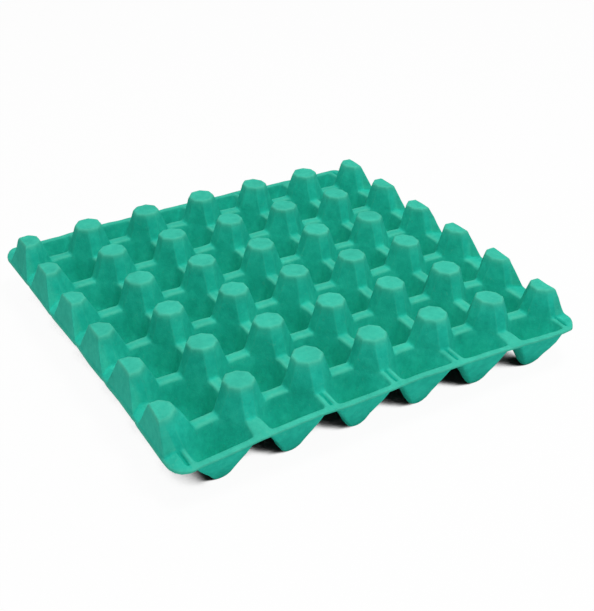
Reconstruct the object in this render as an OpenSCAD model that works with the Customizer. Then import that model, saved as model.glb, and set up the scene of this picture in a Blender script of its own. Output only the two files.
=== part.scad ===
// Moulded pulp tray for round goods such as eggs: one thin sheet pressed between two faces.
// A grid of hollow eight-sided posts holds one cup in each cell. Two of the four margins carry
// half cups, which are feet as well, and the other two close against the outer posts.
// The frame has its origin under the middle of the tray, with the feet on the floor. Lengths in mm.

/* [Grid] */
// Cells along X
cells_x = 6; // [2:1:6]
// Cells along Y
cells_y = 5; // [2:1:5]
// Distance from post to post
pitch = 47; // [45:0.5:52]

/* [Heights] */
// Feet to post tops
tray_h = 50; // [46:0.5:56]
// Feet to saddles, ribs and rim
deck_h = 31; // [28:0.5:35]
// Pulp thickness
wall = 2; // [1.6:0.1:2.4]

/* [Posts] */
// Middle of a post to its flat sides, at the top
post_top_reach = 9.25; // [7.5:0.25:10]
// Middle of a post to its flat sides, at the deck
post_foot_reach = 15.5; // [14:0.25:17]
// Half the width of a post's flat sides, at the top
post_top_half = 3.75; // [3:0.25:4.5]
// Half the width of a post's flat sides, the saddles and the ribs, at the deck
post_foot_half = 4; // [3.5:0.25:5]
// Bevel round a post's top
post_bevel = 1.5; // [1:0.25:2.5]

/* [Cups] */
// Inner radius of a cup's flat bottom
cup_floor_r = 6.5; // [5:0.5:8]
// Height of the lower two bends in a cup's wall, as shares of the depth under the deck
cup_bend_height_shares = [0.13, 0.45];
// Reach of the cup's wall at these bends, as shares of the way from its bottom to its mouth
cup_bend_reach_shares = [0.28, 0.66];

/* [Margins with half cups] */
// Outer post line to the rim's edge
pocket_margin = 33; // [30:0.5:36]
// Outer post line to the middle of a half cup's foot
pocket_foot_out = 16.5; // [14.5:0.5:18]
// Half the length of a half cup's foot
pocket_foot_long = 3.5; // [2.5:0.5:6]
// Half the width of a half cup's foot
pocket_foot_wide = 2.5; // [2:0.5:3.5]
// Cut across a half cup's outer corners, at the deck
pocket_corner = 6; // [3:0.5:7]
// Width of the rim beside the half cups
rim_w = 3; // [2:0.25:4]
// Height of the lower two bends in a half cup's wall, as shares of the depth under the deck
pocket_bend_height_shares = [0.14, 0.5];
// Reach of the half cup's wall at these bends, as shares of the way from its foot to its mouth
pocket_bend_reach_shares = [0.24, 0.6];

/* [Margins with posts] */
// Outer post line to the rim's edge
side_margin = 10; // [9:0.25:12]
// Outer post line to the outer post's sloped side, at the top
side_top_reach = 3.5; // [3:0.25:5]
// Half the width of the valley between two outer posts, at the rim
valley_half = 2.5; // [1.5:0.25:4]
// Ledge left below an outer post's sloped side
side_lip = 0.75; // [0.5:0.25:1.5]

/* [Rim and grooves] */
// Corner radius of the rim
rim_r = 15; // [10:0.5:18]
// Width of the groove along a rib
groove_w = 2.4; // [1.6:0.2:3.2]
// Depth of the groove along a rib
groove_d = 0.9; // [0.5:0.1:1]
// Ribs left without a groove, counted in from the corner
plain_rib = 1; // [1:1:2]

/* [Hidden] */
over = 1;
half_share = 0.5;
eighth = 45;
side_share = 0.75;
wall_side = wall * side_share;
half_pitch = pitch * half_share;
half_x = half_pitch * cells_x;
half_y = half_pitch * cells_y;
rim_x = half_x + side_margin;
rim_y = half_y + pocket_margin;
bevel_side = post_bevel * sin(eighth);
bevel_half = bevel_side * tan(eighth * half_share);
bevel_h = tray_h - post_bevel;
$fn = 32;

// One flat side reaches a from the middle and runs h to either side of it
function eight(a, h) = [[a, -h], [a, h], [h, a], [-h, a], [-a, h], [-a, -h], [-h, -a], [h, -a]];

// A four-sided ring from u0 to u1 along X, with half widths v0 and v1 at these ends
function four(u0, v0, u1, v1) = [[u0, -v0], [u1, -v1], [u1, v1], [u0, v0]];

// A half cup's ring: back line, side line, outer line, and where the cut corners start on the side line
function pocket_ring(back, out, side, near, far) = [
    [side - (near - back), back],
    [side, near],
    [side, far],
    [side - (out - far), out],
    [-side + (out - far), out],
    [-side, far],
    [-side, near],
    [-side + (near - back), back]
];

// Value a given share of the way from a to b
function mix(a, b, share) = a + (b - a) * share;

// Solid through a list of rings, each one a height and its points
module loft(rings) {
    n = len(rings[0][1]);
    last = len(rings) - 1;
    points = [for (r = rings) for (q = r[1]) [q[0], q[1], r[0]]];
    skin = [for (k = [0:last - 1]) for (i = [0:n - 1])
        [k * n + i, (k + 1) * n + i, (k + 1) * n + (i + 1) % n, k * n + (i + 1) % n]];
    low = [for (i = [0:n - 1]) i];
    high = [for (i = [n - 1:-1:0]) last * n + i];
    polyhedron(points = points, faces = concat([low], skin, [high]));
}

// Hollow of one cell: the cup and the space between four posts above it
module cell_space(drop, out) {
    mouth_a = half_pitch - post_foot_half;
    mouth_h = half_pitch - post_foot_reach;
    floor_h = cup_floor_r * tan(eighth * half_share);
    depth = deck_h - wall;
    low = cup_bend_height_shares;
    way = cup_bend_reach_shares;
    grow_h = out * tan(eighth * half_share);
    top_a = half_pitch - post_top_half;
    top_h = half_pitch - post_top_reach;
    lower = drop > 0;
    loft([
        [wall - drop, eight(cup_floor_r + out, floor_h + grow_h)],
        for (k = [lower ? 1 : 0:1]) [
            wall + depth * low[k] - drop,
            eight(mix(cup_floor_r, mouth_a, way[k]) + out, mix(floor_h, mouth_h, way[k]) + grow_h)
        ],
        [deck_h - drop, eight(mouth_a + out, mouth_h + grow_h)],
        [lower ? tray_h - drop : bevel_h, eight(top_a + out, top_h + grow_h)],
        if (!lower) [tray_h, eight(top_a + bevel_half, top_h + bevel_side)],
        [tray_h + over, lower ? eight(top_a + out, top_h + grow_h)
            : eight(top_a + bevel_half, top_h + bevel_side)]
    ]);
}

// Gap above a saddle, between two posts that stand side by side along X
module saddle_space(drop, out) {
    foot_u = half_pitch - post_foot_reach + out;
    top_u = half_pitch - post_top_reach + out;
    lower = drop > 0;
    end_u = lower ? top_u : top_u + bevel_side;
    foot_v = post_foot_half + over;
    top_v = post_top_half + over;
    loft([
        [deck_h - drop, four(-foot_u, foot_v, foot_u, foot_v)],
        [lower ? tray_h - drop : bevel_h, four(-top_u, top_v, top_u, top_v)],
        if (!lower) [tray_h, four(-end_u, top_v, end_u, top_v)],
        [tray_h + over, four(-end_u, top_v, end_u, top_v)]
    ]);
}

// Hollow of one half cup, from the outer post line along Y outwards
module pocket_space(drop, out) {
    grow = out * tan(eighth * half_share);
    side = half_pitch - post_foot_half;
    rim_in = pocket_margin - rim_w;
    foot_back = pocket_foot_out - pocket_foot_wide;
    foot_out = pocket_foot_out + pocket_foot_wide;
    foot_cut = pocket_foot_wide * half_share;
    top_side = half_pitch - post_top_half;
    depth = deck_h - wall;
    low = pocket_bend_height_shares;
    way = pocket_bend_reach_shares;
    far = rim_in - pocket_corner + grow;
    lower = drop > 0;
    end_half = lower ? 0 : bevel_half;
    end_side = lower ? 0 : bevel_side;
    end_ring = pocket_ring(post_top_half - end_half - out, rim_in + out, top_side + end_half + out,
        post_top_reach - end_side - grow, far);
    loft([
        [wall - drop, pocket_ring(foot_back - out, foot_out + out, pocket_foot_long + out,
            foot_back + foot_cut - grow, foot_out - foot_cut + grow)],
        for (k = [lower ? 1 : 0:1]) [
            wall + depth * low[k] - drop,
            pocket_ring(mix(foot_back, post_foot_half, way[k]) - out, mix(foot_out, rim_in, way[k]) + out,
                mix(pocket_foot_long, side, way[k]) + out,
                mix(foot_back + foot_cut, post_foot_reach, way[k]) - grow,
                mix(foot_out - foot_cut, rim_in - pocket_corner, way[k]) + grow)
        ],
        [deck_h - drop, pocket_ring(post_foot_half - out, rim_in + out, side + out,
            post_foot_reach - grow, far)],
        [lower ? tray_h - drop : bevel_h, pocket_ring(post_top_half - out, rim_in + out, top_side + out,
            post_top_reach - grow, far)],
        if (!lower) [tray_h, end_ring],
        [tray_h + over, end_ring]
    ]);
}

// Open space over a margin, outside the sloped sides of its posts, towards X
module margin_space(foot_reach, top_reach, margin, long, drop, out) {
    far = margin + rim_r;
    lower = drop > 0;
    end_reach = lower ? top_reach - out : top_reach - bevel_side;
    loft([
        [deck_h - drop, four(foot_reach - out, long, far, long)],
        [lower ? tray_h - drop : bevel_h, four(top_reach - out, long, far, long)],
        if (!lower) [tray_h, four(end_reach, long, far, long)],
        [tray_h + over, four(end_reach, long, far, long)]
    ]);
}

// Valley between two outer posts, from their saddle to the rim, towards X
module valley_space(drop, out) {
    foot_u = half_pitch - post_foot_reach + out;
    top_u = half_pitch - post_top_reach + out;
    spread = side_top_reach - post_top_half + over;
    hull() loft([
        [deck_h - drop, four(post_top_half - over, foot_u, side_margin + over, valley_half + out)],
        [tray_h - drop + over, four(post_top_half - over, top_u, side_top_reach + over, top_u + spread)]
    ]);
}

// Everything above the sheet, or, with a drop and growth, above the sheet's lower face
module space_above(drop, out) {
    for (i = [0:cells_x - 1], j = [0:cells_y - 1])
        translate([pitch * (i + half_share) - half_x, pitch * (j + half_share) - half_y, 0])
            cell_space(drop, out);
    for (i = [0:cells_x - 1], j = [0:cells_y])
        translate([pitch * (i + half_share) - half_x, pitch * j - half_y, 0])
            saddle_space(drop, out);
    for (i = [0:cells_x], j = [0:cells_y - 1])
        translate([pitch * i - half_x, pitch * (j + half_share) - half_y, 0])
            rotate([0, 0, 2 * eighth]) saddle_space(drop, out);
    for (side = [-1, 1])
        scale([1, side, 1]) translate([0, half_y, 0]) {
            rotate([0, 0, 2 * eighth])
                margin_space(post_foot_reach, post_top_reach, pocket_margin, rim_x + over, drop, out);
            for (i = [0:cells_x - 1])
                translate([pitch * (i + half_share) - half_x, 0, 0]) pocket_space(drop, out);
        }
    for (side = [-1, 1])
        scale([side, 1, 1]) translate([half_x, 0, 0]) {
            margin_space(side_margin - side_lip, side_top_reach, side_margin, rim_y + over, drop, out);
            for (j = [0:cells_y - 1])
                translate([0, pitch * (j + half_share) - half_y, 0]) valley_space(drop, out);
        }
}

// Block with the rim's outline, or one that stands a given way outside it
module block(low, high, out) {
    translate([0, 0, low])
        linear_extrude(high - low)
            offset(r = rim_r)
                square([2 * (rim_x - rim_r + out), 2 * (rim_y - rim_r + out)], center = true);
}

// Grooves along the ribs, from the posts' feet to the rim
module rib_grooves() {
    long = pocket_margin - post_foot_reach - rim_w;
    for (side = [-1, 1], i = [0:cells_x])
        if (min(i, cells_x - i) != plain_rib)
            scale([1, side, 1])
                translate([pitch * i - half_x, half_y + post_foot_reach + long * half_share, deck_h])
                    cube([groove_w, long, 2 * groove_d], center = true);
}

module tray() {
    color("mediumseagreen")
        difference() {
            block(-over, tray_h, 0);
            space_above(0, 0);
            rib_grooves();
            difference() {
                block(-2 * over, tray_h - wall, over);
                space_above(wall, wall_side);
            }
        }
}

tray();
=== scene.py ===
import math

import bmesh
import bpy
from mathutils import Matrix, Vector


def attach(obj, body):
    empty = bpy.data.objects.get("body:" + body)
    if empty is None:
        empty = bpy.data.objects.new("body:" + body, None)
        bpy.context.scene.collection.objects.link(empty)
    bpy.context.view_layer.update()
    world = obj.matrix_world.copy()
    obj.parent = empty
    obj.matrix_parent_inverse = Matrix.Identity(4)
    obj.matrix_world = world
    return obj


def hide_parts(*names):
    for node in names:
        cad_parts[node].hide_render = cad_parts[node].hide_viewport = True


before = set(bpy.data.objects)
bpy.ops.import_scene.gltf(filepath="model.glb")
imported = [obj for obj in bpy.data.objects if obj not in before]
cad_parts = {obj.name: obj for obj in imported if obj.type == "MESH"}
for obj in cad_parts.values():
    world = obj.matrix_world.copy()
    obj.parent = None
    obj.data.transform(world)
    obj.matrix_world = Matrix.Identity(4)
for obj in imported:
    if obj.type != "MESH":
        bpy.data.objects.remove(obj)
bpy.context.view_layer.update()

# Sizes of the tray, in millimetres, in the same frame as the solids

MM = 0.001
PITCH = 47.0
CELLS_X = 6
CELLS_Y = 5
HALF = PITCH / 2
TOP = 50.0
DECK = 31.0
WALL = 2.0
RIM_OUT = 33.0
SIDE_OUT = 10.0
LIP = 0.5
RIM_X = SIDE_OUT - LIP
RIM_Y = RIM_OUT - LIP
GROOVE = 1.8
GROOVE_START_SHARE = 0.6
DIAGONAL = math.sqrt(0.5)
SAME_POINT = 0.0001

# How pale the fibres are painted: for wear and a painted highlight on tops, rims and edges, as a painted
# sheen on outer faces, and how deep the painted shade is in the bed of a groove
TOP_WEAR_AND_HIGHLIGHT = 0.42
RIM_WEAR_AND_HIGHLIGHT = 0.5
EDGE_WEAR_AND_HIGHLIGHT = 0.45
CORNER_WEAR_AND_HIGHLIGHT = 0.15
# Outer faces of the outer posts are painted pale as a painted sheen
OUTER_PAINTED_SHEEN = 0.25
RIB_END_WEAR_AND_HIGHLIGHT = 0.4
GROOVE_EDGE_WEAR_AND_HIGHLIGHT = 0.5
BED_SHADE = -0.7

# Rounded edge of the rim, from the upper face to the lower one: how far out, how far down and how pale it is
# painted for wear and highlight
RIM_EDGE = ((0, 0, RIM_WEAR_AND_HIGHLIGHT), (LIP, 0.45, 0.7), (LIP, 1.5, 0.4), (0, WALL, 0))

# Post: where its top edge ends, and its flat sides' reach and half width there and at the deck
EDGE_Z = TOP - 1.5
EDGE_REACH, FOOT_REACH = 9.35, 15.5
EDGE_HALF, FOOT_HALF = 3.85, 4.0
POST_HEIGHTS = (TOP - 3.5, TOP - 7.5, TOP - 11.5, TOP - 15.0, DECK + 1.6)

# Top of a post: share and dip of each row on its flat, then drop and paleness of each row round its edge,
# painted for wear and highlight
TOP_DIPS = ((0, 0.45), (0.45, 0.35), (0.8, 0.1))
TOP_EDGE = ((0, 0.6), (0.45, 0.8), (TOP - EDGE_Z, 0.5))

# Rings of a post: reach, half width and cut corner round its top, then reach, half width and height inside it
RING_CUT = 0.7
TOP_RINGS = ((8.0, 3.3, 0.6), (8.85, 3.65, 0.65), (EDGE_REACH, EDGE_HALF, RING_CUT))
LOW_RINGS = ((7.2, 2.7, TOP - WALL), (8.3, 2.8, 46.6), (10.7, 2.8, 40.0))

# Bend at the foot of a post: its reach and height, and its shares between an outer post's side, deck and foot
BEND_REACH, BEND_Z = 15.55, DECK + 0.45
BEND_DOWN, BEND_OUT = 0.975, 0.1

# Saddles, ribs and the floor between outer posts start at a post's foot and are cut at the same places
FOOT_OUT = 16.6
SADDLE_AT = (19.5, HALF)
FLAT_HALF = 2.9
GROOVE_SHARES = (0.5, 0.34)
GROOVE_ROWS = 4
RIB_AT = (18.2, 20.8, 23.8, 26.6, 28.6)
RIB_ROWS = len(RIB_AT)
LOW_FOOT = 15.1
LOW_FLAT = 2.0

# Rounded edge of a saddle or rib: how far its shoulder and flank lie below the flat, and their half widths
SHOULDER_DROP, FLANK_DROP, LOW_FLANK_DROP = 0.4, 1.5, 1.6
SHOULDER_HALF, FLANK_HALF, LOW_FLANK_HALF = 3.85, 4.42, 2.92

# Beside a rib: how far its flank lies out from its flat's edge, and the lower flat in from the lower flank
RIB_FLANK_OUT, RIB_LOW_FLAT_IN = 1.5, 0.9

# Cups and half cups, from the mouth down: share of the way back from the foot to the mouth, and height
CUP_STEPS = (
    (0.93, 26.3), (0.825, 21.6), (0.68, 15.1), (0.575, 12.1), (0.43, 8.7),
    (0.285, 5.8), (0.16, 3.9), (0.06, 2.6), (0, 2.15),
)
LOW_CUP_STEPS = ((0.83, 20.0), (0.68, 13.2), (0.43, 6.7), (0.2, 2.5), (0.05, 0.4), (0, 0))
HALF_CUP_STEPS = (
    (0.93, 26.6), (0.8, 22.3), (0.6, 16.5), (0.5, 13.4), (0.37, 9.7),
    (0.24, 6.1), (0.12, 3.9), (0.04, 2.6), (0, 2.15),
)
LOW_HALF_CUP_STEPS = ((0.8, 20.4), (0.6, 14.5), (0.42, 9.3), (0.24, 4.0), (0.1, 1.4), (0, 0.25), (-0.1, 0))

# Reach of their feet along X and Y, and the middle and form of a half cup
CUP_FOOT, LOW_CUP_FOOT = (6.5, 6.5), (7.6, 7.6)
HALF_CUP_FOOT, LOW_HALF_CUP_FOOT = (3.5, 2.6), (4.4, 3.7)
HALF_CUP_MIDDLE = (HALF, 16.4)
HALF_CUP_SPREAD = (19.5, 12)
HALF_CUP_PINCH = 1.3
HALF_CUP_SQUARE = 0.75

# Closed margin: the rim lies this far below the deck, and the foot of an outer post as far above it
SIDE_DIP = 0.2

# Rounded corner of the rim, measured from the corner post: where it leaves the side, and places on the way
CORNER_Y = 18.0
CORNER_LONG = RIM_Y - CORNER_Y
TURN_START, TURN_END = 19.0, 23.6
TURN_ANGLES = (38, 58, 72, 81.8, 85.2, 90)


# Moulded sheet, drawn as patches of its upper face, its lower face and the rim's edge

class Sheet:
    """Faces as lists of corners. A corner is x, y, z and how pale it is painted, for wear and painted
    highlight, with values below zero for painted shade.
    """

    def __init__(self):
        self.faces = []

    def grid(self, rows, low):
        """Fills the mesh between rows of points. The upper face looks up and the lower face looks down."""
        for near, far in zip(rows, rows[1:]):
            for k in range(len(near) - 1):
                corners = []
                for p in (near[k], far[k], far[k + 1], near[k + 1]):
                    if all(math.dist(p[:3], q[:3]) > SAME_POINT for q in corners):
                        corners.append(p)
                if len(corners) > 2:
                    loop = corners[1:] + corners[:1]
                    area = sum(p[0] * q[1] - q[0] * p[1] for p, q in zip(corners, loop))
                    self.faces.append(corners[::-1] if (area > 0) == low else corners)

    def rim(self, line, first, last):
        """Rounded edge along the outside of a line, whose way out is given at its first and last points."""
        lines = [[] for _ in RIM_EDGE]
        for k, (x, y, z, _) in enumerate(line):
            if k in (0, len(line) - 1):
                nx, ny = last if k else first
            else:
                dx, dy = line[k + 1][0] - line[k - 1][0], line[k + 1][1] - line[k - 1][1]
                side = 1 if dy * first[0] - dx * first[1] + dy * last[0] - dx * last[1] > 0 else -1
                nx, ny = side * dy / math.hypot(dx, dy), -side * dx / math.hypot(dx, dy)
            for row, (out, down, rub) in zip(lines, RIM_EDGE):
                row.append((x + nx * out, y + ny * out, z - down, rub))
        outward = Vector((first[0] + last[0], first[1] + last[1], 0))
        for near, far in zip(lines, lines[1:]):
            for k in range(len(near) - 1):
                corners = [near[k], far[k], far[k + 1], near[k + 1]]
                a, b, c = (Vector(p[:3]) for p in corners[:3])
                up = Vector((0, 0, 1 if near is lines[0] else -1 if far is lines[-1] else 0))
                turn = (b - a).cross(c - a).dot(outward + up)
                self.faces.append(corners if turn > 0 else corners[::-1])

    def add(self, other, move=lambda x, y: (x, y)):
        """Takes in another sheet's faces through a map of x and y, and turns round those that it mirrors."""
        o, ax, ay = move(0, 0), move(1, 0), move(0, 1)
        mirrored = (ax[0] - o[0]) * (ay[1] - o[1]) - (ax[1] - o[1]) * (ay[0] - o[0]) < 0
        for face in other.faces:
            new = [(*move(p[0], p[1]), p[2], p[3]) for p in face]
            self.faces.append(new[::-1] if mirrored else new)
        return self

    def patch_object(self, name):
        """The sheet as a mesh object in metres, with its painted wear, highlight and shade as an attribute.
        """
        index, points, rubbed, faces = {}, [], [], []
        for face in self.faces:
            ids = []
            for p in face:
                key = tuple(round(v, 3) for v in p[:3])
                if key not in index:
                    index[key] = len(points)
                    points.append([v * MM for v in p[:3]])
                    rubbed.append(p[3])
                ids.append(index[key])
            faces.append(ids)
        mesh = bpy.data.meshes.new(name)
        mesh.from_pydata(points, [], faces)
        mesh.attributes.new("rubbed", "FLOAT", "POINT").data.foreach_set("value", rubbed)
        return bpy.data.objects.new(name, mesh)


def level(points, z, rub=0.0):
    return [(x, y, z, rub) for x, y in points]


def between(a, b, share):
    return [tuple(p + (q - p) * share for p, q in zip(s, t)) for s, t in zip(a, b)]


def swapped(row):
    """The same points on the other side of the diagonal, in the other order."""
    return [(p[1], p[0], *p[2:]) for p in reversed(row)]


def grooved(row):
    """Adds the places of a rib's groove to a row that ends on the flat side towards +Y."""
    edge, end = row[-2], row[-1]
    return row[:-1] + [(edge[0] * s, end[1], *end[2:]) for s in GROOVE_SHARES] + [end]


def sunken(row):
    """Lowers the bed of a groove where it starts at a post's foot, and gives it painted shade."""
    return [(x, y, z - GROOVE * GROOVE_START_SHARE, BED_SHADE) for x, y, z, _ in row]


def ring(reach, half, cut, low):
    """Quarter of an eight-sided ring, from +X round to +Y, with rounder corners on the upper face."""
    start, end = (reach, half - cut), (reach - cut * DIAGONAL, half + cut * DIAGONAL)
    middle = ((reach + half) / 2, (reach + half) / 2)
    bend = ((start[0] + 2 * reach + end[0]) / 4, (start[1] + 2 * half + end[1]) / 4)
    part = [(reach, 0), start, end]
    if not low:
        part = [(reach, 0), start, bend, end, ((end[0] + middle[0]) / 2, (end[1] + middle[1]) / 2)]
    return part + [middle] + swapped(part)


def worn_and_highlighted_corners(row):
    """Paints the rounded corners of a post's ring pale, for wear and highlight."""
    bends = (2, len(row) - 3)
    return [(*p[:3], CORNER_WEAR_AND_HIGHLIGHT if k in bends else p[3]) for k, p in enumerate(row)]


def reach_at(z):
    """Reach and half width of a post's flat sides at a height."""
    share = (EDGE_Z - z) / (EDGE_Z - DECK)
    return EDGE_REACH + (FOOT_REACH - EDGE_REACH) * share, EDGE_HALF + (FOOT_HALF - EDGE_HALF) * share


def top_rows(rings):
    """Rows from the middle of a post's top to its edge, where the first ring given is the end of the flat."""
    rows = [level([(x * s, y * s) for x, y in rings[0]], TOP - dip, TOP_WEAR_AND_HIGHLIGHT) for s, dip in TOP_DIPS]
    for points, (down, rub) in zip(rings, TOP_EDGE):
        rows.append(level(points, TOP - down, rub))
    return rows


def post_rows(low):
    """A quarter of a post, from the middle of its top down to its foot on the deck."""
    if low:
        z = DECK - WALL
        flank = z - LOW_FLANK_DROP
        rows = [level(ring(reach, half, RING_CUT, low), height) for reach, half, height in LOW_RINGS]
        middle = level([(0, 0)] * len(rows[0]), TOP - WALL)
        foot = [(LOW_FOOT, 0, z, 0), (LOW_FOOT, LOW_FLAT, z, 0), (14.6, 3.3, flank, 0)]
        return [middle] + rows + [foot + [(9.0, 9.0, flank, 0)] + swapped(foot)]
    rows = top_rows([ring(reach, half, cut, low) for reach, half, cut in TOP_RINGS])
    for z in POST_HEIGHTS:
        reach, half = reach_at(z)
        rub = CORNER_WEAR_AND_HIGHLIGHT if z == POST_HEIGHTS[0] else 0.0
        rows.append(worn_and_highlighted_corners(level(ring(reach, half, RING_CUT, low), z, rub)))
    bend = [(BEND_REACH, 0, BEND_Z, 0), (BEND_REACH, FLAT_HALF, BEND_Z, 0.1)]
    bend += [(15.3, 3.85, DECK + 0.35, 0.1), (14.75, 4.75, DECK + 0.15, 0), (12.24, 7.24, DECK + 0.1, 0)]
    rows.append(bend + [(9.73, 9.73, DECK + 0.1, 0)] + swapped(bend))
    shoulder, flank = DECK - SHOULDER_DROP, DECK - FLANK_DROP
    foot = [(FOOT_OUT, 0, DECK, 0.2), (FOOT_OUT, FLAT_HALF, DECK, 0.4), (16.3, 3.9, shoulder, 0.4)]
    foot += [(15.5, 4.8, flank, 0.1), (12.8, 7.4, flank, 0)]
    return rows + [foot + [(10.05, 10.05, flank, 0)] + swapped(foot)]


def saddle_rows(foot, low):
    """Half of the half saddle along X, from a post's foot to the middle between two posts."""
    if low:
        z = DECK - WALL
        profile = ((0, z, 0), (LOW_FLAT, z, 0), (LOW_FLANK_HALF, z - LOW_FLANK_DROP, 0))
    else:
        # The saddle's flat and shoulder are painted pale for wear and highlight
        profile = ((0, DECK, 0.3), (FLAT_HALF, DECK, 0.7), (SHOULDER_HALF, DECK - SHOULDER_DROP, 0.7))
        profile += ((FLANK_HALF, DECK - FLANK_DROP, 0.1),)
    return [foot[:len(profile)]] + [[(x, *point) for point in profile] for x in SADDLE_AT]


def bowl_rows(mouth, middle, foot, spread, steps, floor, pinch=1.0, square=1.0):
    """Rows from a mouth down to a small foot. A step is a share of the way back to the mouth and a height.

    A pinch above 1 draws the sides along X in sooner, and a square below 1 gives the foot fuller corners.
    """
    rows, spokes = [mouth], []
    for x, y, _, _ in mouth:
        vx, vy = x - middle[0], y - middle[1]
        turn = math.atan2(vy / spread[1], vx / spread[0])
        cos, sin = (math.copysign(abs(part) ** square, part) for part in (math.cos(turn), math.sin(turn)))
        spokes.append((foot[0] * cos, foot[1] * sin, vx, vy))
    for share, z in steps:
        across = math.copysign(abs(share) ** pinch, share)
        rows.append([
            (middle[0] + fx + (vx - fx) * across, middle[1] + fy + (vy - fy) * share, z, 0)
            for fx, fy, vx, vy in spokes
        ])
    return rows + [[(*middle, floor, 0)] * len(mouth)]


def quarter_cell(low):
    """From a post's middle at the origin to the middle of the cup beyond it."""
    sheet = Sheet()
    post = post_rows(low)
    saddle = saddle_rows(post[-1], low)
    twin = [[(y, x, z, rub) for x, y, z, rub in row] for row in saddle]
    for rows in (post, saddle, twin):
        sheet.grid(rows, low)
    n = len(saddle[0])
    mouth = [saddle[2][-1], saddle[1][-1]] + post[-1][n - 1:1 - n] + [twin[1][-1], twin[2][-1]]
    foot, steps, floor = (LOW_CUP_FOOT, LOW_CUP_STEPS, 0) if low else (CUP_FOOT, CUP_STEPS, WALL)
    sheet.grid(bowl_rows(mouth, (HALF, HALF), foot, (1, 1), steps, floor), low)
    return sheet


# Edge of the flat along a rib and round the corner to the rim, with the way from it into the half cup
RIB_WAYS = (*[(1, 0)] * 3, (0.99, -0.14), (0.85, -0.53), (0.4, -0.92), *[(0, -1)] * 4)
RIB_YS = (*RIB_AT, 29.8, 30.1, 30.1, 30.1, 30.1)
GROOVED_XS = (FLAT_HALF, FLAT_HALF, FLAT_HALF, 3.0, 3.7, 5.0, 7.5, 12.0, 18.0, HALF)
PLAIN_XS = (3.6, 3.9, 4.1, 4.3, 4.9, 6.2, 8.8, 12.6, 18.0, HALF)


def aside(xs, way, z, rub=0.0):
    """A line beside the flat's edge, as far towards the half cup as the way says."""
    return [(x + nx * way, y + ny * way, z, rub) for x, y, (nx, ny) in zip(xs, RIB_YS, RIB_WAYS)]


def half_cup_half(low, groove):
    """Margin beyond a post towards +Y, from the rib on that post to the middle of the half cup beside it."""
    sheet = Sheet()
    z = DECK - WALL if low else DECK
    post = [grooved(row) for row in post_rows(low)]
    if groove and not low:
        post[-1][-2:] = sunken(post[-1][-2:])
    saddle = saddle_rows(post[-1], low)
    foot, n = post[-1], len(saddle[0])
    sheet.grid(post, low)
    sheet.grid(saddle, low)
    # A grooved rib's bed gets painted shade; a plain rib's edges are painted pale for wear and highlight
    xs, worn = (GROOVED_XS, BED_SHADE) if groove else (PLAIN_XS, EDGE_WEAR_AND_HIGHLIGHT)
    flat = LOW_FLAT if low else FLAT_HALF
    if low:
        lines = [[foot[-4]] + aside(xs, -RIB_LOW_FLAT_IN, z), [foot[-5]] + aside(xs, 0, z - LOW_FLANK_DROP)]
    else:
        lines = [[foot[-4]] + aside(xs, 0, z, EDGE_WEAR_AND_HIGHLIGHT)]
        lines.append([foot[-5]] + aside(xs, SHOULDER_HALF - FLAT_HALF, z - SHOULDER_DROP, EDGE_WEAR_AND_HIGHLIGHT))
        lines.append([foot[-6]] + aside(xs, RIB_FLANK_OUT, z - FLANK_DROP, 0.1))
    sheet.grid(lines, low)
    rib = [foot[:-5:-1]]
    for k, y in enumerate((*RIB_AT, RIM_Y)):
        sunk = groove if k < GROOVE_ROWS and not low else 0
        edge = lines[0][k + 1] if k < RIB_ROWS else (lines[0][RIB_ROWS][0], y, z, RIM_WEAR_AND_HIGHLIGHT)
        rub = worn if k < GROOVE_ROWS else RIB_END_WEAR_AND_HIGHLIGHT
        bed = [(0, y, z - sunk, rub), (flat * GROOVE_SHARES[1], y, z - sunk, rub)]
        rib.append(bed + [(flat * GROOVE_SHARES[0], y, z, GROOVE_EDGE_WEAR_AND_HIGHLIGHT), edge])
    sheet.grid(rib, low)
    rim = [(p[0], RIM_Y, z, RIM_WEAR_AND_HIGHLIGHT) for p in lines[0][RIB_ROWS:]]
    sheet.grid([rim, lines[0][RIB_ROWS:]], low)
    mouth = [saddle[2][-1], saddle[1][-1]] + foot[n - 1:-2 - n] + lines[-1]
    if low:
        cup_foot, steps, floor = LOW_HALF_CUP_FOOT, LOW_HALF_CUP_STEPS, 0
    else:
        cup_foot, steps, floor = HALF_CUP_FOOT, HALF_CUP_STEPS, WALL
    form = (HALF_CUP_PINCH, HALF_CUP_SQUARE)
    sheet.grid(bowl_rows(mouth, HALF_CUP_MIDDLE, cup_foot, HALF_CUP_SPREAD, steps, floor, *form), low)
    if not low:
        sheet.rim(rib[-1][:-1] + rim, (0, 1), (0, 1))
    return sheet


def outer_rings(starts, flats, rings):
    """Rings of a post at a closed margin: the points that round its corner, then its flat side towards +Y."""
    return [start + [(x, reach) for x in flat] for start, flat, (reach, *_) in zip(starts, flats, rings)]


def outer_rows(low, rings, deck, foot):
    """Rows of a post at a closed margin, which meet the other posts' rows on the line towards +Y."""
    model = post_rows(low)
    if low:
        rows = [level([(0, 0)] * len(deck), TOP - WALL)]
        rows += [level(points, row[0][2]) for points, row in zip(rings, model[1:3])]
        z = model[3][0][2]
        start, points = rows[2][0][2], rings[1]
        rows.append(level(between(points, deck, (start - z) / (start - DECK + WALL)), z))
    else:
        rows = top_rows(rings)
        for z in POST_HEIGHTS:
            # Outer faces are painted pale as a painted sheen
            rows.append(level(between(rings[2], deck, (EDGE_Z - z) / (EDGE_Z - DECK)), z, OUTER_PAINTED_SHEEN))
        rows.append(between(level(between(rings[2], deck, BEND_DOWN), BEND_Z), foot, BEND_OUT))
    for row, m in zip(rows, model):
        row[-1] = m[-1]
    return rows + [foot]


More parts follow.
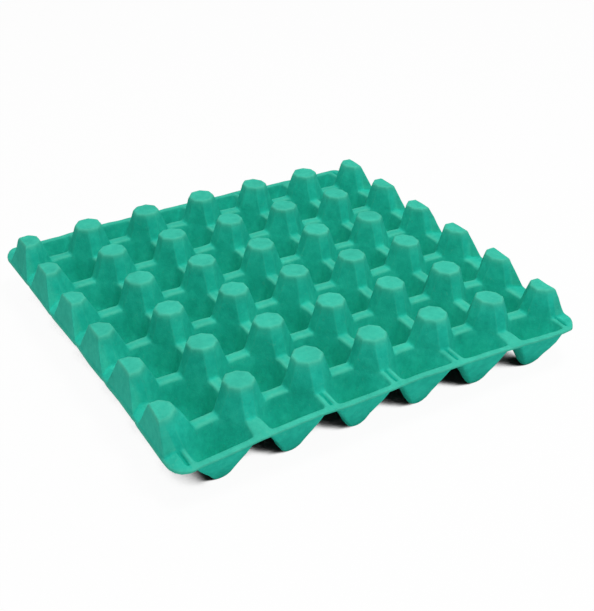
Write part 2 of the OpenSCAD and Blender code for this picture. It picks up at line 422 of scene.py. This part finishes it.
def outer_quarter(low):
    """Closed margin beyond a post towards +X, from that post to the middle of the valley beside it."""
    sheet = Sheet()
    z = DECK - WALL if low else DECK
    y = SADDLE_AT[0]
    line = [(RIM_X, 0), (RIM_X, 18.9), (9.45, 20.4), (9.35, 21.9), (9.2, HALF)]
    rim = level(line, z - SIDE_DIP, RIM_WEAR_AND_HIGHLIGHT)
    if low:
        starts = ([(1.7, 0), (1.7, 5.6), (1.5, 6.5), (1.3, 7.1)], [(2.5, 0), (2.5, 6.8), (2.2, 7.8)])
        rings = outer_rings(starts, ((0,), (1.7, 0)), LOW_RINGS)
        deck = [(7.9, 0), (7.9, 18.0), (4.6, 16.4), (1.6, LOW_FOOT), (0, LOW_FOOT)]
        foot = level(deck, z)
        sheet.grid(outer_rows(low, rings, deck, foot), low)
        sheet.grid([[foot[0], foot[1], foot[1]], rim[:3]], low)
        floor = [
            [rim[2]] + foot[1:],
            [rim[3]] + level([(8.2, 21.0), (4.8, 19.7), (1.7, y), (0, y)], z),
            [rim[4]] + level([(8.4, HALF), (5.0, HALF), (1.7, HALF), (0, HALF)], z),
        ]
    else:
        starts = (
            [(2.3, 0), (2.3, 6.7), (2.27, 7.2), (2.2, 7.55), (2.1, 7.75), (1.95, 7.9), (1.8, 7.98)],
            [(3.0, 0), (3.0, 7.6), (2.97, 8.1), (2.9, 8.45), (2.8, 8.62), (2.65, 8.76), (2.5, 8.83)],
            [(3.5, 0), (3.5, 8.2), (3.47, 8.7), (3.4, 9.0), (3.3, 9.15), (3.15, 9.27), (3.0, 9.33)],
        )
        rings = outer_rings(starts, ((1.6, 0), (2.3, 0), (2.8, 0)), TOP_RINGS)
        deck = [(9.2, 0), (9.2, 18.4), (9.05, 19.5), (8.4, 19.6), (5.7, 17.7), (3.6, 16.2), (3.1, 15.75)]
        deck += [(2.7, FOOT_REACH), (0, FOOT_REACH)]
        foot = level([(9.3, 0), (9.3, 18.6), (9.15, 20.0)], z + SIDE_DIP, 0.3)
        foot += level([(8.6, 20.5), (6.0, 18.8), (4.0, 17.3), (3.3, 16.85), (2.8, FOOT_OUT)], z, 0.1)
        foot.append((0, FOOT_OUT, z, 0.2))
        sheet.grid(outer_rows(low, rings, deck, foot), low)
        sheet.grid([foot[:3], rim[:3]], low)
        mid_xs, end_xs = (9.0, 8.5, 6.1, 4.1, 3.4, 2.85), (9.0, 8.6, 6.2, 4.2, 3.5, 2.9)
        mid = [(x, y + rise) for x, rise in zip(mid_xs, (2.4, 2.4, 1.5, 0.6, 0.2, 0))]
        floor = [
            [rim[2]] + foot[2:],
            [rim[3]] + level(mid, z, 0.1) + [(0, y, z, 0.3)],
            [rim[4]] + level([(x, HALF) for x in end_xs], z, 0.1) + [(0, HALF, z, 0.3)],
        ]
    sheet.grid(floor, low)
    if not low:
        sheet.rim(rim, (1, 0), (1, 0))
    return sheet


def corner_quarter(low):
    """Corner beyond a post towards +X and +Y, out to the rounded rim."""
    sheet = Sheet()
    z = DECK - WALL if low else DECK

    def outline(y):
        return RIM_X * math.sqrt(max(0, 1 - ((y - CORNER_Y) / CORNER_LONG) ** 2))

    if low:
        starts = ([(1.7, 0), (1.7, 5.2), (1.6, 6.6)], [(2.5, 0), (2.5, 6.4), (2.35, 7.8)])
        flats = ((1.4, 1.25, 1.1, 0.5, 0.3, 0), (2.0, 1.75, 1.5, 0.7, 0.41, 0))
        rings = outer_rings(starts, flats, LOW_RINGS)
        deck = [(7.9, 0), (7.9, 13.0), (7.6, 14.4), (6.6, LOW_FOOT), (4.4, LOW_FOOT), (LOW_FLAT, LOW_FOOT)]
        deck += [(LOW_FLAT * s, LOW_FOOT) for s in GROOVE_SHARES] + [(0, LOW_FOOT)]
        foot = level(deck, z)
        sunk = 0
    else:
        starts = (
            [(2.3, 0), (2.3, 6.1), (2.2, 7.3)],
            [(3.0, 0), (3.0, 7.1), (2.85, 8.2)],
            [(3.5, 0), (3.5, 8.4), (3.4, 9.1)],
        )
        flats = (
            (1.95, 1.8, 1.6, 0.75, 0.44, 0),
            (2.45, 2.2, 1.9, 0.89, 0.52, 0),
            (2.95, 2.6, 2.2, 1.03, 0.61, 0),
        )
        rings = outer_rings(starts, flats, TOP_RINGS)
        deck = [(9.2, 0), (9.2, 14.1), (8.9, 15.2)]
        rib_xs = (FLAT_HALF, *(FLAT_HALF * s for s in GROOVE_SHARES), 0)
        deck += [(x, FOOT_REACH) for x in (8.0, 5.5, *rib_xs)]
        foot = level([(9.3, 0), (9.3, 14.4), (9.1, 15.8)], z + SIDE_DIP, 0.3)
        foot += level([(8.2, 16.5), (5.5, FOOT_OUT)], z, 0.1)
        foot += level([(x, FOOT_OUT) for x in rib_xs], z, 0.2)
        foot[-2:] = sunken(foot[-2:])
        sunk = GROOVE
    sheet.grid(outer_rows(low, rings, deck, foot), low)
    line = [(RIM_X, 0), (RIM_X, 14.6), (RIM_X, 16.8), (outline(TURN_START), TURN_START)]
    side = level(line, z - SIDE_DIP, RIM_WEAR_AND_HIGHLIGHT)
    sheet.grid([foot[:4], side], low)
    angles = [math.radians(a) for a in TURN_ANGLES]
    ends = [(RIM_X * math.cos(a), CORNER_Y + CORNER_LONG * math.sin(a)) for a in angles]
    flange = [[side[3]] + foot[3:]]
    for k, y in enumerate((*RIB_AT, RIM_Y)):
        share = (y - FOOT_OUT) / (RIM_Y - FOOT_OUT)
        if k == RIB_ROWS:
            row = level(ends, z, RIM_WEAR_AND_HIGHLIGHT)
        else:
            row = [(p[0], p[1], z, 0.2) for p in between([f[:2] for f in foot[3:]], ends, share)]
            row[-1] = (0, y, z, 0)
            if k < GROOVE_ROWS:
                row[-2:] = [(x, v, h - sunk, BED_SHADE) for x, v, h, _ in row[-2:]]
        y_side = TURN_START + (TURN_END - TURN_START) * share
        flange.append([(outline(y_side), y_side, z - SIDE_DIP * (1 - share), RIM_WEAR_AND_HIGHLIGHT)] + row)
    sheet.grid(flange, low)
    if not low:
        sheet.rim(side + [row[0] for row in flange[1:]] + flange[-1][1:], (1, 0), (0, 1))
    return sheet


def both_faces(make):
    return make(False).add(make(True))


def cell_patch():
    quarter = both_faces(quarter_cell)
    cell = Sheet()
    for sx in (1, -1):
        for sy in (1, -1):
            cell.add(quarter, lambda x, y, sx=sx, sy=sy: (sx * (x - HALF), sy * (y - HALF)))
    return cell


def rib_patch(groove):
    half = both_faces(lambda low: half_cup_half(low, groove))
    return Sheet().add(half).add(half, lambda x, y: (-x, y))


def outer_post_patch():
    half = both_faces(outer_quarter)
    return Sheet().add(half).add(half, lambda x, y: (x, -y))


def corner_patch(mirror):
    s = -1 if mirror else 1
    sheet = Sheet()
    sheet.add(both_faces(corner_quarter), lambda x, y: (s * x, y))
    sheet.add(both_faces(lambda low: half_cup_half(low, GROOVE)), lambda x, y: (-s * x, y))
    sheet.add(both_faces(outer_quarter), lambda x, y: (s * x, -y))
    return sheet


# Node maths, shared by the tray's shape and its finish

class Val:
    """One output socket, with sums written as Python."""

    def __init__(self, socket):
        self.socket = socket
        self.tree = socket.id_data

    def math(self, operation, other, turned=False):
        node = self.tree.nodes.new("ShaderNodeMath")
        node.operation = operation
        pair = (other, self) if turned else (self, other)
        for slot, value in zip(node.inputs, pair):
            put(self.tree, slot, value)
        return Val(node.outputs[0])

    def __add__(self, other):
        return self.math("ADD", other)

    def __radd__(self, other):
        return self.math("ADD", other, True)

    def __sub__(self, other):
        return self.math("SUBTRACT", other)

    def __rsub__(self, other):
        return self.math("SUBTRACT", other, True)

    def __mul__(self, other):
        return self.math("MULTIPLY", other)

    def __rmul__(self, other):
        return self.math("MULTIPLY", other, True)


def put(tree, slot, value):
    if isinstance(value, Val):
        tree.links.new(value.socket, slot)
    elif isinstance(value, (list, tuple)) and value and isinstance(value[0], Val):
        for one in value:
            tree.links.new(one.socket, slot)
    else:
        slot.default_value = value


class Nodes:
    """A node tree that is filled by one method."""

    def __init__(self, tree):
        self.tree = tree

    def add(self, kind, settings=None, out=0, **sockets):
        node = self.tree.nodes.new(kind)
        for name, value in (settings or {}).items():
            if name == "stops":
                ramp = node.color_ramp
                while len(ramp.elements) < len(value):
                    ramp.elements.new(0.5)
                for stop, (place, colour) in zip(ramp.elements, value):
                    stop.position = place
                    stop.color = colour
            else:
                setattr(node, name, value)
        for name, value in sockets.items():
            key = name.replace("_", " ")
            slot = node.inputs[int(name[1:])] if name[1:].isdigit() else node.inputs[key]
            put(self.tree, slot, value)
        return Val(node.outputs[out]) if len(node.outputs) else node


# Finish of the pulp: its greens from dark to light, the pale green of worn fibres and painted highlights, and
# what each noise adds

GREENS = [(0.34, (0.006, 0.43, 0.315, 1)), (0.5, (0.013, 0.53, 0.39, 1)), (0.66, (0.026, 0.63, 0.467, 1))]
PALE_GREEN = (0.13, 0.6, 0.41, 1)
CLOUD_TONE, MOTTLE_TONE, FIBRE_TONE, BED_TONE = 0.42, 0.43, 0.15, 0.3
CLOUD_RELIEF, MOTTLE_RELIEF, FIBRE_RELIEF = 0.5, 0.5, 0.28
PALE_EVEN, PALE_MOTTLED = 0.3, 0.6
ROUGH_LEAST, ROUGH_MORE = 0.82, 0.14


def pulp_material():
    material = bpy.data.materials.new("green_pulp")
    material.use_nodes = True
    tree = material.node_tree
    tree.nodes.clear()
    n = Nodes(tree)
    place = n.add("ShaderNodeTexCoord", out=3)
    cloud = n.add("ShaderNodeTexNoise", Vector=place, Scale=48.0, Detail=3.0, Roughness=0.55)
    mottle = n.add("ShaderNodeTexNoise", Vector=place, Scale=210.0, Detail=4.0, Roughness=0.6)
    fibre = n.add("ShaderNodeTexNoise", Vector=place, Scale=1100.0, Detail=3.0, Roughness=0.6)
    speck = n.add("ShaderNodeTexNoise", Vector=place, Scale=430.0, Detail=2.0, Distortion=1.2)
    rubbed = n.add("ShaderNodeAttribute", {"attribute_name": "rubbed"}, out=2)
    tone = cloud * CLOUD_TONE + mottle * MOTTLE_TONE + fibre * FIBRE_TONE
    # Painted shade: the negative part of the attribute darkens the bed of a groove
    shaded = tone + BED_TONE * rubbed.math("MINIMUM", 0.0)
    green = n.add("ShaderNodeValToRGB", {"stops": GREENS}, Fac=shaded)
    fleck = n.add("ShaderNodeMapRange", Value=speck, From_Min=0.6, From_Max=0.78, To_Max=0.2)
    # Painted pale: wear and painted highlight on tops, edges and rims, painted sheen on outer faces, and
    # fibre flecks
    pale = (rubbed * (PALE_EVEN + PALE_MOTTLED * mottle) + fleck).math("MINIMUM", 1.0)
    colour = n.add("ShaderNodeMix", {"data_type": "RGBA"}, out=2, i0=pale, i6=green, i7=PALE_GREEN)
    rough = ROUGH_LEAST + ROUGH_MORE * mottle
    relief = mottle * MOTTLE_RELIEF + fibre * FIBRE_RELIEF + cloud * CLOUD_RELIEF
    bump = n.add("ShaderNodeBump", Strength=0.35, Distance=0.0012, Height=relief)
    shader = n.add(
        "ShaderNodeBsdfPrincipled", Base_Color=colour, Roughness=rough, Normal=bump, Specular_IOR_Level=0.15
    )
    n.add("ShaderNodeOutputMaterial", Surface=shader)
    return material


# Tray, laid out from the patches

# Gaps that are closed where patches meet, in metres
PATCH_GAP, SHELL_GAP = 0.00005, 0.00002

# Noise: scales of the slow and the quick unevenness and of the rim's wave, and share of the quick one
SLOW_SCALE, QUICK_SCALE, WAVE_SCALE = 30.0, 110.0, 17.0
QUICK_SHARE = 0.45
NOISE_MIDDLE = (1 + QUICK_SHARE) / 2

# Height in metres below which feet are kept even, and the share of the unevenness that is left at their ends
FOOT_HEIGHT, FOOT_SHARE = 0.012, 0.15

# Bend: level of the arch, reach of each corner's bend in pitches, its fall, and the way of the pull
ARCH_LEVEL = 0.694
LEFT_REACH, RIGHT_REACH, PULL_REACH = 1.7, 1.6, 0.5
SAG_POWER = 1.5
PULL_X, PULL_Y = -0.86, 0.52

# Where the left lip, the left posts, the rim and what is above the feet take up their bend, in metres
LIP_START = 0.004
LEAN_END = -0.0105
WAVE_START = 0.018
DROOP_START, DROOP_END = 0.007, 0.026
BEND_HEIGHT = 0.02


def tray_tree(material):
    tree = bpy.data.node_groups.new("pulp_tray", "GeometryNodeTree")
    names = {}
    for name, kind, value in (
        ("Cell", "NodeSocketObject", None),
        ("Grooved rib", "NodeSocketObject", None),
        ("Plain rib", "NodeSocketObject", None),
        ("Outer post", "NodeSocketObject", None),
        ("Corner", "NodeSocketObject", None),
        ("Mirrored corner", "NodeSocketObject", None),
        ("Cells X", "NodeSocketInt", CELLS_X),
        ("Cells Y", "NodeSocketInt", CELLS_Y),
        ("Pitch", "NodeSocketFloat", PITCH * MM),
        ("Arch", "NodeSocketFloat", 0.003),
        ("Left sag", "NodeSocketFloat", 0.006),
        ("Right sag", "NodeSocketFloat", 0.0034),
        ("Left lip drop", "NodeSocketFloat", 0.0022),
        ("Left lean", "NodeSocketFloat", 0.0021),
        ("Right corner pull", "NodeSocketFloat", 0.0038),
        ("Rim wave", "NodeSocketFloat", 0.0012),
        ("Rim droop", "NodeSocketFloat", 0.0016),
        ("Uneven", "NodeSocketFloat", 0.0011),
        ("Seed", "NodeSocketFloat", 3.0),
    ):
        socket = tree.interface.new_socket(name, in_out="INPUT", socket_type=kind)
        if value is not None:
            socket.default_value = value
        names[name] = socket.identifier
    tree.interface.new_socket("Tray", in_out="OUTPUT", socket_type="NodeSocketGeometry")
    n = Nodes(tree)
    given = tree.nodes.new("NodeGroupInput")
    want = {name: Val(given.outputs[name]) for name in names}
    pitch, nx, ny = want["Pitch"], want["Cells X"], want["Cells Y"]
    half_x, half_y = pitch * nx * 0.5, pitch * ny * 0.5

    def patch(name):
        return n.add("GeometryNodeObjectInfo", out=4, Object=want[name], As_Instance=True)

    def spread(points, name, chosen=None):
        more = {} if chosen is None else {"Selection": chosen}
        return n.add("GeometryNodeInstanceOnPoints", Points=points, Instance=patch(name), **more)

    def vector(x, y, z=0.0):
        return n.add("ShaderNodeCombineXYZ", X=x, Y=y, Z=z)

    def vector_math(operation, out=0, **sockets):
        return n.add("ShaderNodeVectorMath", {"operation": operation}, out=out, **sockets)

    def turned(geometry):
        return n.add("GeometryNodeTransform", Geometry=geometry, Rotation=(0, 0, math.pi))

    def line(count, start, step=(0.0, 0.0, 0.0)):
        return n.add("GeometryNodeMeshLine", Count=count, Start_Location=start, Offset=step)

    grid_x, grid_y = pitch * (nx - 1), pitch * (ny - 1)
    grid = n.add("GeometryNodeMeshGrid", Size_X=grid_x, Size_Y=grid_y, Vertices_X=nx, Vertices_Y=ny)
    cells = spread(grid, "Cell")
    rib_line = line(nx - 1, vector(pitch - half_x, half_y), vector(pitch, 0.0))
    index = n.add("GeometryNodeInputIndex")
    inward = index.math("MINIMUM", nx - 2 - index)
    plain = inward.math("LESS_THAN", 0.5)
    ribs = [spread(rib_line, "Plain rib", plain), spread(rib_line, "Grooved rib", 1 - plain)]
    sides = spread(line(ny - 1, vector(half_x, pitch - half_y), vector(0.0, pitch)), "Outer post")
    corners = [
        spread(line(1, vector(half_x, half_y)), "Corner"),
        spread(line(1, vector(0 - half_x, half_y)), "Mirrored corner"),
    ]
    edge_half = n.add("GeometryNodeJoinGeometry", Geometry=[*ribs, sides, *corners])
    whole = n.add("GeometryNodeJoinGeometry", Geometry=[cells, edge_half, turned(edge_half)])
    joined = n.add("GeometryNodeRealizeInstances", Geometry=whole)
    sheet = n.add("GeometryNodeMergeByDistance", Geometry=joined, Distance=PATCH_GAP)
    place = n.add("GeometryNodeInputPosition")
    x = n.add("ShaderNodeSeparateXYZ", Vector=place)
    y, height = (Val(x.socket.node.outputs[k]) for k in (1, 2))

    def noise(scale, detail, out):
        four = {"noise_dimensions": "4D"}
        seed = want["Seed"]
        return n.add("ShaderNodeTexNoise", four, out=out, Vector=place, W=seed, Scale=scale, Detail=detail)

    def ramp(value, low, high, kind="LINEAR"):
        way = {"interpolation_type": kind}
        return n.add("ShaderNodeMapRange", way, Value=value, From_Min=low, From_Max=high)

    def sag(spot, reach, depth):
        gap = vector_math("DISTANCE", out=1, i0=vector(x, y), i1=spot)
        return ramp(gap.math("DIVIDE", pitch), reach, 0.0).math("POWER", SAG_POWER) * depth

    slow, quick = noise(SLOW_SCALE, 1.0, 1), noise(QUICK_SCALE, 1.0, 1)
    both = vector_math("MULTIPLY_ADD", i0=quick, i1=(QUICK_SHARE,) * 3, i2=slow)
    centred = vector_math("SUBTRACT", i0=both, i1=(NOISE_MIDDLE,) * 3)
    grip = n.add("ShaderNodeMapRange", Value=height, From_Max=FOOT_HEIGHT, To_Min=FOOT_SHARE)
    shove = vector_math("SCALE", i0=centred, Scale=want["Uneven"] * 2.0)
    shove = vector_math("SCALE", i0=shove, Scale=grip)
    along = x.math("DIVIDE", half_x)
    arch = want["Arch"] * (ARCH_LEVEL - along * along)
    past_left = 0 - x - half_x
    side_x, front_y = half_x + SIDE_OUT * MM, 0 - half_y - RIM_OUT * MM
    left = sag(vector(0 - side_x, front_y), LEFT_REACH, want["Left sag"])
    right = sag(vector(half_x, 0 - half_y), RIGHT_REACH, want["Right sag"])
    pull = sag(vector(side_x, front_y), PULL_REACH, want["Right corner pull"])
    drop = ramp(past_left, LIP_START, SIDE_OUT * MM) * want["Left lip drop"]
    beside = ramp(past_left, -FOOT_OUT * MM, LEAN_END) * ramp(height, DECK * MM, TOP * MM)
    lean = (want["Left lean"] * ramp(half_y - y, 0.0, pitch) + left) * beside
    edge = ramp(y.math("ABSOLUTE", 0.0) - half_y, WAVE_START, RIM_OUT * MM)
    swell = (noise(WAVE_SCALE, 0.0, 0) - 0.5) * 2.0
    inner = ramp(x.math("ABSOLUTE", 0.0), half_x + DROOP_START, half_x - DROOP_END)
    wave = (swell * want["Rim wave"] - want["Rim droop"] * inner) * edge
    hold = ramp(height, 0.0, BEND_HEIGHT, "SMOOTHSTEP")
    lift = arch + (wave - left - right - drop) * hold
    bend = vector(pull * PULL_X - lean, pull * PULL_Y, lift)
    moved = vector_math("ADD", i0=shove, i1=bend)
    worn = n.add("GeometryNodeSetPosition", Geometry=sheet, Offset=moved)
    soft = n.add("GeometryNodeSetShadeSmooth", Geometry=worn)
    real = n.add("GeometryNodeRealizeInstances", Geometry=soft)
    done = n.add("GeometryNodeSetMaterial", Geometry=real, Material=material)
    out = tree.nodes.new("NodeGroupOutput")
    tree.links.new(done.socket, out.inputs[0])
    return tree, names


def weigh_normals(mesh):
    """Lets large faces set the shading at their corners, so that flats look flat beside rounded edges."""
    normals = [Vector() for _ in mesh.vertices]
    for face in mesh.polygons:
        for v in face.vertices:
            normals[v] += face.normal * face.area
    mesh.normals_split_custom_set_from_vertices([v.normalized() for v in normals])


def make_tray():
    material = pulp_material()
    patches = {
        "Cell": cell_patch().patch_object("cell_patch"),
        "Grooved rib": rib_patch(GROOVE).patch_object("grooved_rib_patch"),
        "Plain rib": rib_patch(0.0).patch_object("plain_rib_patch"),
        "Outer post": outer_post_patch().patch_object("outer_post_patch"),
        "Corner": corner_patch(False).patch_object("corner_patch"),
        "Mirrored corner": corner_patch(True).patch_object("mirrored_corner_patch"),
    }
    tree, names = tray_tree(material)
    holder = bpy.data.objects.new("tray_layout", bpy.data.meshes.new("tray_layout"))
    bpy.context.scene.collection.objects.link(holder)
    layout = holder.modifiers.new("layout", "NODES")
    layout.node_group = tree
    for name, patch in patches.items():
        layout[names[name]] = patch
    graph = bpy.context.evaluated_depsgraph_get()
    mesh = bpy.data.meshes.new_from_object(holder.evaluated_get(graph))
    holder.modifiers.remove(layout)
    bpy.data.objects.remove(holder)
    for patch in patches.values():
        bpy.data.objects.remove(patch)
    shell = bmesh.new()
    shell.from_mesh(mesh)
    bmesh.ops.remove_doubles(shell, verts=shell.verts, dist=SHELL_GAP)
    bmesh.ops.recalc_face_normals(shell, faces=shell.faces)
    shell.to_mesh(mesh)
    shell.free()
    weigh_normals(mesh)
    mesh.name = "pulp_tray"
    tray = bpy.data.objects.new("pulp_tray", mesh)
    bpy.context.scene.collection.objects.link(tray)
    return tray


tray = make_tray()
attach(tray, "root")
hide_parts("tray")


# Floor, light and camera

# Floor: its colour, the share of it that is seen as plain white, and half its length in metres
FLOOR_GREY = (0.9, 0.9, 0.9, 1)
FLOOR_WHITE = 0.96
FLOOR_HALF = 4.0

# Shadow painted into the floor's seen colour from occlusion: how far it looks for the tray, in metres, and
# the open shares that are black and white
SOFT_SHADOW = {"samples": 24, "distance": 0.045, "dark": 0.26, "light": 0.4}
GAP_SHADOW = {"samples": 64, "distance": 0.06, "dark": 0.42, "light": 0.52}
# Way the gaps' painted shadow is leaned, as if lit from the front right
GAP_WAY = {"X": 0.70, "Y": -0.42, "Z": 0.57}

# Where the sharper painted shadow of the gaps between the front feet fades in, in metres
GAP_FADE_X = (-0.132, -0.124)
GAP_FADE_Y = (-0.06, -0.09)

# Light from all round, as a share of the white that is seen behind the tray, and where the lamps point
ROOM_LIGHT = 0.34
LAMP_AIM = (0, 0, 0.02)

# Camera, as fitted to the photograph: its angles in degrees, and its distance from its aim in pitches
CAMERA_TURN, CAMERA_LIFT, CAMERA_ROLL = -31.054, 30.386, 0.169
CAMERA_BACK = 14.963

# Its aim in pitches from the front left post and in millimetres above the tops, and its lens
AIM_X, AIM_Y, AIM_ABOVE_TOP = 2.51, 1.099, 2.08
FOCAL_PIXELS, LONG_SIDE_PIXELS = 1090.2, 611
SENSOR = 36.0


def seen_directly(n):
    """1 for a ray that looks straight at a thing or at its reflection, and 0 for light that it sheds."""
    path = n.tree.nodes.new("ShaderNodeLightPath")
    camera, glossy, through = (
        Val(path.outputs[f"Is {kind} Ray"]) for kind in ("Camera", "Glossy", "Transmission")
    )
    return camera.math("MAXIMUM", glossy).math("MAXIMUM", through)


def floor_material():
    material = bpy.data.materials.new("white_floor")
    material.use_nodes = True
    tree = material.node_tree
    tree.nodes.clear()
    n = Nodes(tree)
    lit = n.add("ShaderNodeBsdfDiffuse", Color=FLOOR_GREY)

    def smooth(value, low, high):
        way = {"interpolation_type": "SMOOTHSTEP"}
        return n.add("ShaderNodeMapRange", way, Value=value, From_Min=low, From_Max=high)

    def clear(samples, distance, dark, light, **way):
        free = n.add("ShaderNodeAmbientOcclusion", {"samples": samples}, out=1, Distance=distance, **way)
        return smooth(free, dark, light)

    x = n.add("ShaderNodeSeparateXYZ", Vector=n.add("ShaderNodeTexCoord", out=3))
    y = Val(x.socket.node.outputs[1])
    # The floor's seen colour carries a painted shadow from occlusion: soft all round, sharper and leaned
    # between the front feet
    front = smooth(y, *GAP_FADE_Y) * smooth(x, *GAP_FADE_X)
    plain = clear(**SOFT_SHADOW)
    gaps = clear(**GAP_SHADOW, Normal=n.add("ShaderNodeCombineXYZ", **GAP_WAY))
    white_with_painted_shadow = n.add("ShaderNodeEmission", Color=plain + (gaps - plain) * front)
    shader = n.add("ShaderNodeMixShader", i0=seen_directly(n) * FLOOR_WHITE, i1=lit, i2=white_with_painted_shadow)
    n.add("ShaderNodeOutputMaterial", Surface=shader)
    return material


def make_floor():
    mesh = bpy.data.meshes.new("floor")
    s = FLOOR_HALF
    low = min(v.co.z for v in tray.data.vertices)
    mesh.from_pydata([(-s, -s, low), (s, -s, low), (s, s, low), (-s, s, low)], [], [(0, 1, 2, 3)])
    mesh.materials.append(floor_material())
    floor = bpy.data.objects.new("floor", mesh)
    bpy.context.scene.collection.objects.link(floor)


def make_world():
    world = bpy.data.worlds.new("studio")
    world.use_nodes = True
    tree = world.node_tree
    tree.nodes.clear()
    n = Nodes(tree)
    strength = ROOM_LIGHT + (1 - ROOM_LIGHT) * seen_directly(n)
    background = n.add("ShaderNodeBackground", Color=(1, 1, 1, 1), Strength=strength)
    n.add("ShaderNodeOutputWorld", Surface=background)
    bpy.context.scene.world = world


def make_lamp(name, place, size, watts):
    light = bpy.data.lights.new(name, "AREA")
    light.shape = "DISK"
    light.size = size
    light.energy = watts
    lamp = bpy.data.objects.new(name, light)
    lamp.location = place
    lamp.rotation_euler = (Vector(LAMP_AIM) - Vector(place)).to_track_quat("-Z", "Y").to_euler()
    bpy.context.scene.collection.objects.link(lamp)


def make_camera():
    turn, lift, roll = (math.radians(angle) for angle in (CAMERA_TURN, CAMERA_LIFT, CAMERA_ROLL))
    back = Vector((math.sin(turn) * math.cos(lift), -math.cos(turn) * math.cos(lift), math.sin(lift)))
    right = Vector((math.cos(turn), math.sin(turn), 0))
    up = back.cross(right)
    right, up = right * math.cos(roll) + up * math.sin(roll), up * math.cos(roll) - right * math.sin(roll)
    across, along = (AIM_X - CELLS_X / 2) * PITCH, (AIM_Y - CELLS_Y / 2) * PITCH
    aim = Vector((across, along, TOP + AIM_ABOVE_TOP)) * MM
    data = bpy.data.cameras.new("camera")
    data.sensor_width = SENSOR
    data.lens = FOCAL_PIXELS * SENSOR / LONG_SIDE_PIXELS
    camera = bpy.data.objects.new("camera", data)
    turned = Matrix((right, up, back)).transposed().to_4x4()
    camera.matrix_world = Matrix.Translation(aim + back * CAMERA_BACK * PITCH * MM) @ turned
    bpy.context.scene.collection.objects.link(camera)
    bpy.context.scene.camera = camera


make_floor()
make_world()
make_lamp("key_lamp", place=(0.28, -0.21, 1.36), size=0.5, watts=10.5)
make_lamp("fill_lamp", place=(-0.58, -0.87, 0.93), size=0.9, watts=2.3)
make_camera()
bpy.context.scene.view_settings.view_transform = "Standard"
